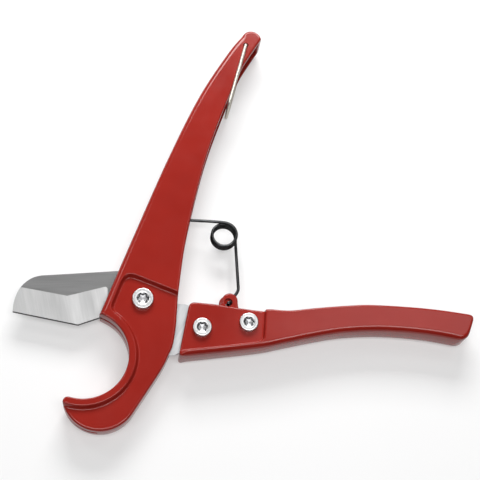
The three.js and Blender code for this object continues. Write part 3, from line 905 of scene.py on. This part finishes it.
def wire(name, points, radius, spacing, sides=16):
    """A round wire along a path, with its ends rounded off."""
    path = even_path(points, spacing)
    tangents = np.gradient(path, axis=0)
    tangents /= np.linalg.norm(tangents, axis=1)[:, None]
    side = np.cross(tangents[0], (0, 0, 1) if abs(tangents[0][2]) < 0.9 else (1, 0, 0))
    bm = bmesh.new()
    loops = []

    def add_loop(centre, u, v, r):
        loops.append([bm.verts.new(place(*(centre + (u * math.cos(a) + v * math.sin(a)) * r)))
                      for a in np.linspace(0, 2 * math.pi, sides, endpoint=False)])

    def add_dome(centre, outward, u, v, angles):
        for a in np.radians(angles):
            add_loop(centre + outward * radius * DOME * math.sin(a), u, v,
                     radius * (1 - DOME + DOME * math.cos(a)))

    for i, (centre, along) in enumerate(zip(path, tangents)):
        side = side - along * (side @ along)
        side /= np.linalg.norm(side)
        up = np.cross(along, side)
        if i == 0:
            add_dome(centre, -along, side, up, DOME_ANGLES[::-1])
        add_loop(centre, side, up, radius)
        if i == len(path) - 1:
            add_dome(centre, along, side, up, DOME_ANGLES)
    for lower, upper in zip(loops[:-1], loops[1:]):
        for i in range(sides):
            j = (i + 1) % sides
            bm.faces.new([lower[i], lower[j], upper[j], upper[i]])
    bm.faces.new(loops[0][::-1])
    bm.faces.new(loops[-1])
    bmesh.ops.recalc_face_normals(bm, faces=bm.faces)
    return shaded(mesh_object(name, bm), 50)


def coil_point(degrees):
    """The coil's point at an angle from its start."""
    x, y = on_circle(SPRING_COIL, COIL_RADIUS, degrees)
    return (x, y, COIL_PITCH * (degrees / 360 - COIL_TURNS / 2))


def make_spring(black):
    """A torsion spring: a leg hooked into the lug, its coil and a leg into the upper handle."""
    x, y = SPRING_HOOK
    leg = rounded_path([
        (x, y, LUG_OUTER + GAP), (x, y, LEG_LEVEL), (*LEG_CORNER, LEG_LEVEL), coil_point(0),
    ], SPRING_BEND)
    last = COIL_TURNS * 360 - UPPER_LEG_LEAD
    coil = [coil_point(a) for a in np.arange(COIL_STEP, last, COIL_STEP)]
    start = np.array(coil_point(last))
    dx, dy, dz = UPPER_LEG_BOW
    bow = np.array((SPRING_COIL[0] + dx, SPRING_COIL[1] + COIL_RADIUS + dy, start[2] + dz))
    end = np.array((*SPRING_TIP, TIP_LEVEL))
    upper = [(1 - t) ** 2 * start + 2 * t * (1 - t) * bow + t * t * end
             for t in np.linspace(0, 1, UPPER_LEG_POINTS)]
    spring = wire("torsion_spring", [*leg, *coil, *upper], SPRING_WIRE, 0.7)
    dressed(spring, None, "black_wire", black, "spring_lower_half", "spring_upper_half")
    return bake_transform(spring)


def make_bail(nickel):
    """The wire latch: a U whose ends spring into the handle's holes."""
    hx, hy = BAIL_HOLE
    bx, by = BAIL_BAR
    end = CHANNEL_HALF - BAIL_INSIDE
    path = rounded_path([
        (hx, hy, end), (hx, hy, BAIL_HALF), (bx, by, BAIL_HALF),
        (bx, by, -BAIL_HALF), (hx, hy, -BAIL_HALF), (hx, hy, -end),
    ], BAIL_BEND)
    bail = wire("latch_wire", path, BAIL_WIRE, 0.6)
    return dressed(bail, "latch_bail", "nickel_wire", nickel, "latch_bail")


# ---------------------------------------------------------------- materials

RANGE_SOCKETS = ("From Min", "From Max", "To Min", "To Max")
NOISE_ROUGHNESS = 0.55
GRIND_LEAN = 11
TANG_LEAN = -30


class Finish:
    """A node material whose maps all lie in object space."""

    def __init__(self, name, **sockets):
        self.material = bpy.data.materials.new(name)
        self.material.use_nodes = True
        self.tree = self.material.node_tree
        self.shader = self.tree.nodes["Principled BSDF"]
        for socket, value in sockets.items():
            self.shader.inputs[socket.replace("_", " ")].default_value = value
        self.space = self.node("ShaderNodeTexCoord").outputs["Object"]

    def node(self, kind, **values):
        """A new node, with some of its settings."""
        made = self.tree.nodes.new(kind)
        for key, value in values.items():
            setattr(made, key, value)
        return made

    def link(self, source, target):
        self.tree.links.new(source, target)

    def noise(self, size_mm, stretch=(1, 1, 1), detail=3.0, turn=0.0):
        """Noise with features of about that size, stretched along its axes, which may be turned."""
        mapping = self.node("ShaderNodeMapping", vector_type="TEXTURE")
        mapping.inputs["Rotation"].default_value = (0, 0, turn)
        mapping.inputs["Scale"].default_value = [s * size_mm * MM for s in stretch]
        self.link(self.space, mapping.inputs["Vector"])
        noise = self.node("ShaderNodeTexNoise")
        noise.inputs["Scale"].default_value = 1.0
        noise.inputs["Detail"].default_value = detail
        noise.inputs["Roughness"].default_value = NOISE_ROUGHNESS
        self.link(mapping.outputs["Vector"], noise.inputs["Vector"])
        return noise.outputs["Fac"]

    def ranged(self, source, low, high, start=0.3, end=0.7):
        """The source's middle values spread between two numbers."""
        spread = self.node("ShaderNodeMapRange")
        for socket, value in zip(RANGE_SOCKETS, (start, end, low, high)):
            spread.inputs[socket].default_value = value
        self.link(source, spread.inputs["Value"])
        return spread.outputs["Result"]

    def tones(self, source, *stops):
        """A colour ramp: stops are (position, colour)."""
        ramp = self.node("ShaderNodeValToRGB")
        elements = ramp.color_ramp.elements
        while len(elements) < len(stops):
            elements.new(0.5)
        for element, (position, colour) in zip(elements, stops):
            element.position = position
            element.color = (*colour, 1)
        self.link(source, ramp.inputs["Fac"])
        return ramp.outputs["Color"]

    def colour(self, source):
        self.link(source, self.shader.inputs["Base Color"])

    def roughness(self, source):
        self.link(source, self.shader.inputs["Roughness"])

    def relief(self, source, height_mm, strength):
        """A shallow bump, finer than the mesh."""
        bump = self.node("ShaderNodeBump")
        bump.inputs["Distance"].default_value = height_mm * MM
        bump.inputs["Strength"].default_value = strength
        self.link(source, bump.inputs["Height"])
        self.link(bump.outputs["Normal"], self.shader.inputs["Normal"])


def red_paint():
    """Baked enamel on a casting, with slow changes of tone and of gloss."""
    look = Finish("red_enamel", Metallic=0.0, Roughness=0.16, Specular_IOR_Level=0.32)
    tone = look.noise(30, detail=2)
    look.colour(look.tones(tone, (0.3, (0.252, 0.015, 0.01)), (0.7, (0.292, 0.019, 0.013))))
    look.roughness(look.ranged(look.noise(9), 0.14, 0.2))
    look.relief(look.noise(1.6, detail=1), 0.003, 0.5)
    return look.material


def plate_steel():
    """The blade's flat sides, brushed along their length."""
    look = Finish("brushed_plate_steel", Metallic=1.0, Roughness=0.36)
    grain = look.noise(0.6, stretch=(30, 1, 1), detail=4)
    look.colour(look.tones(grain, (0.25, (0.22, 0.22, 0.22)), (0.75, (0.26, 0.26, 0.26))))
    look.roughness(look.ranged(grain, 0.34, 0.4))
    return look.material


def ground_steel():
    """The ground faces, with the grinding wheel's marks across the edge."""
    look = Finish("ground_blade_steel", Metallic=1.0, Roughness=0.42)
    lean = math.radians(GRIND_LEAN)
    marks = look.noise(0.8, stretch=(1, 30, 1), detail=4, turn=lean)
    bands = look.noise(5, stretch=(1, 8, 1), detail=2, turn=lean)
    mix = look.node("ShaderNodeMath", operation="ADD")
    look.link(look.ranged(marks, 0, 0.5, 0.25, 0.75), mix.inputs[0])
    look.link(look.ranged(bands, 0, 0.5), mix.inputs[1])
    look.colour(look.tones(mix.outputs[0], (0.1, (0.41, 0.41, 0.41)), (0.9, (0.51, 0.51, 0.51))))
    look.roughness(look.ranged(bands, 0.4, 0.46))
    return look.material


def tang_steel():
    """The tang's polished sides."""
    look = Finish("polished_tang_steel", Metallic=1.0, Roughness=0.4)
    grain = look.noise(1.0, stretch=(1, 20, 1), turn=math.radians(TANG_LEAN))
    look.colour(look.tones(grain, (0.25, (0.52, 0.53, 0.54)), (0.75, (0.6, 0.61, 0.62))))
    look.roughness(look.ranged(grain, 0.36, 0.44))
    return look.material


def plated(name, dark, light, roughness, size_mm=0.8):
    """A plated or drawn metal with a fine uneven grain."""
    look = Finish(name, Metallic=1.0, Roughness=roughness)
    grain = look.noise(size_mm)
    look.colour(look.tones(grain, (0.3, dark), (0.7, light)))
    look.roughness(look.ranged(grain, roughness * 0.9, roughness * 1.1))
    return look.material


def black_wire():
    """Oiled black spring wire."""
    look = Finish("blackened_spring_wire", Metallic=1.0, Roughness=0.34)
    look.shader.inputs["Specular Tint"].default_value = (0.25, 0.25, 0.25, 1)
    tone = look.noise(2.5)
    look.colour(look.tones(tone, (0.3, (0.045, 0.046, 0.048)), (0.7, (0.075, 0.076, 0.078))))
    look.roughness(look.ranged(look.noise(0.7), 0.3, 0.38))
    return look.material


# ---------------------------------------------------------------- the tool

paint = red_paint()
chrome_and_socket_shade = [
    plated("satin_chrome", (0.66, 0.66, 0.67), (0.76, 0.76, 0.76), 0.34),
    # The second, darker metal is for the screws' sockets: painted shade in the recess.
    plated("socket_painted_shade", (0.22, 0.22, 0.23), (0.42, 0.42, 0.43), 0.36, 0.9),
]
zinc = plated("zinc_plate", (0.42, 0.43, 0.44), (0.6, 0.6, 0.6), 0.34, 1.6)
nickel = plated("nickel_wire", (0.52, 0.495, 0.43), (0.66, 0.63, 0.56), 0.5, 1.2)
bronze = plated("sintered_bronze", (0.30, 0.18, 0.08), (0.46, 0.29, 0.14), 0.42, 0.5)

make_jaw_frame(paint)
make_lower_handle(paint)
# Near-black steel for the honed edges: painted shade along the cutting edges.
honed_painted_shade = plated("honed_edge_painted_shade", (0.05, 0.05, 0.05), (0.1, 0.1, 0.1), 0.3, 0.6)
make_blade(plate_steel(), ground_steel(), tang_steel(), honed_painted_shade)
make_screw("pivot_screw", ORIGIN, PIVOT_SHANK, PIVOT_HEAD, chrome_and_socket_shade, "pivot_bolt", FRAME_BODY)
make_nut("pivot_hex_nut", ORIGIN, PIVOT_SHANK, zinc, "pivot_nut", FRAME_BODY)
for end, centre in zip(("front", "rear"), SCREWS):
    node = f"handle_screw_{end}"
    make_screw(f"blade_screw_{end}", centre, SCREW_SHANK, SCREW_HEAD, chrome_and_socket_shade, node, HANDLE_BODY)
    node = f"handle_nut_{end}"
    make_nut(f"blade_hex_nut_{end}", centre, SCREW_SHANK, zinc, node, HANDLE_BODY)
make_spring(black_wire())
make_bail(nickel)

# CAD solids that are shown as they are, with a material from here.
CARRIED_OVER = {
    "pivot_bush": bronze, "thrust_washer_front": zinc, "thrust_washer_rear": zinc,
    "pivot_lock_washer": zinc, "handle_lock_washer_front": zinc, "handle_lock_washer_rear": zinc,
}
for node, material in CARRIED_OVER.items():
    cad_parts[node].data.materials.clear()
    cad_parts[node].data.materials.append(material)

# ---------------------------------------------------------------- stage, light and camera

CAMERA_FROM_PIVOT = (-16.17, -175.99, 551.09)
CAMERA_BACK = (-0.11233, -0.35312, 0.92881)
CAMERA_UP = (0.0, 0.93473, 0.35537)
CAMERA_LENS = 86.25
CEILING_DIRECTION = (0.12, 0.52, 0.85)
CEILING_EDGE = (0.93, 1.0)
CEILING_LEVELS = (0.26, 1.3)
FLOOR_HALF = 12.0
FLOOR_GAP = 0.0002

# Name, direction from the pivot, distance, size and radiance.
SOFTBOXES = [
    ("key_softbox", (0.0, -0.2, 1.0), 1.5, (1.3, 0.42), 8.3),
    ("back_softbox", (0.15, 1.35, 1.0), 0.8, (0.5, 0.3), 15.0),
    ("grip_softbox", (0.42, 0.3, 1.0), 1.3, (0.36, 0.5), 2.0),
    ("edge_softbox", (-0.46, 0.56, 1.0), 1.3, (0.2, 0.3), 7.0),
]


def make_floor():
    """A pale floor just under the tool, partly lit from within so that it stays near white."""
    bm = bmesh.new()
    bmesh.ops.create_grid(bm, x_segments=8, y_segments=8, size=FLOOR_HALF)
    floor = mesh_object("floor", bm)
    floor.location.z = cad_box[0].z - FLOOR_GAP
    look = Finish("pale_floor", Roughness=0.9, Specular_IOR_Level=0.05, Emission_Strength=0.36)
    look.shader.inputs["Emission Color"].default_value = (1, 1, 1, 1)
    look.colour(look.tones(look.noise(400), (0.3, (0.5, 0.5, 0.5)), (0.7, (0.52, 0.52, 0.52))))
    floor.data.materials.append(look.material)


def area_light(name, direction, distance, size, radiance):
    """A softbox of an even radiance at a direction and distance from the pivot, facing it."""
    light = bpy.data.lights.new(name, "AREA")
    light.shape = "RECTANGLE"
    light.size, light.size_y = size
    light.energy = radiance * math.pi * size[0] * size[1]
    lamp = bpy.data.objects.new(name, light)
    back = Vector(direction).normalized()
    lamp.location = PIVOT + back * distance
    lamp.rotation_euler = back.to_track_quat("Z", "Y").to_euler()
    bpy.context.scene.collection.objects.link(lamp)


def make_world():
    """A dim room with a brighter patch of ceiling."""
    world = bpy.data.worlds.new("studio")
    bpy.context.scene.world = world
    world.use_nodes = True
    nodes, links = world.node_tree.nodes, world.node_tree.links
    direction = nodes.new("ShaderNodeTexCoord").outputs["Generated"]
    toward = nodes.new("ShaderNodeVectorMath")
    toward.operation = "DOT_PRODUCT"
    toward.inputs[1].default_value = Vector(CEILING_DIRECTION).normalized()
    links.new(direction, toward.inputs[0])
    spread = nodes.new("ShaderNodeMapRange")
    spread.interpolation_type = "SMOOTHSTEP"
    for socket, value in zip(RANGE_SOCKETS, (*CEILING_EDGE, *CEILING_LEVELS)):
        spread.inputs[socket].default_value = value
    links.new(toward.outputs["Value"], spread.inputs["Value"])
    links.new(spread.outputs["Result"], nodes["Background"].inputs["Strength"])


def make_camera():
    """Looks down on the tool, from a little on the hooked jaw's side of the pivot."""
    camera = bpy.data.objects.new("camera", bpy.data.cameras.new("camera"))
    bpy.context.scene.collection.objects.link(camera)
    back, up = Vector(CAMERA_BACK), Vector(CAMERA_UP)
    turn = Matrix((up.cross(back), up, back)).transposed().to_4x4()
    camera.matrix_world = Matrix.Translation(place(*CAMERA_FROM_PIVOT)) @ turn
    camera.data.lens = CAMERA_LENS
    bpy.context.scene.camera = camera


make_floor()
for softbox in SOFTBOXES:
    area_light(*softbox)
make_world()
make_camera()
bpy.context.scene.view_settings.view_transform = "Standard"
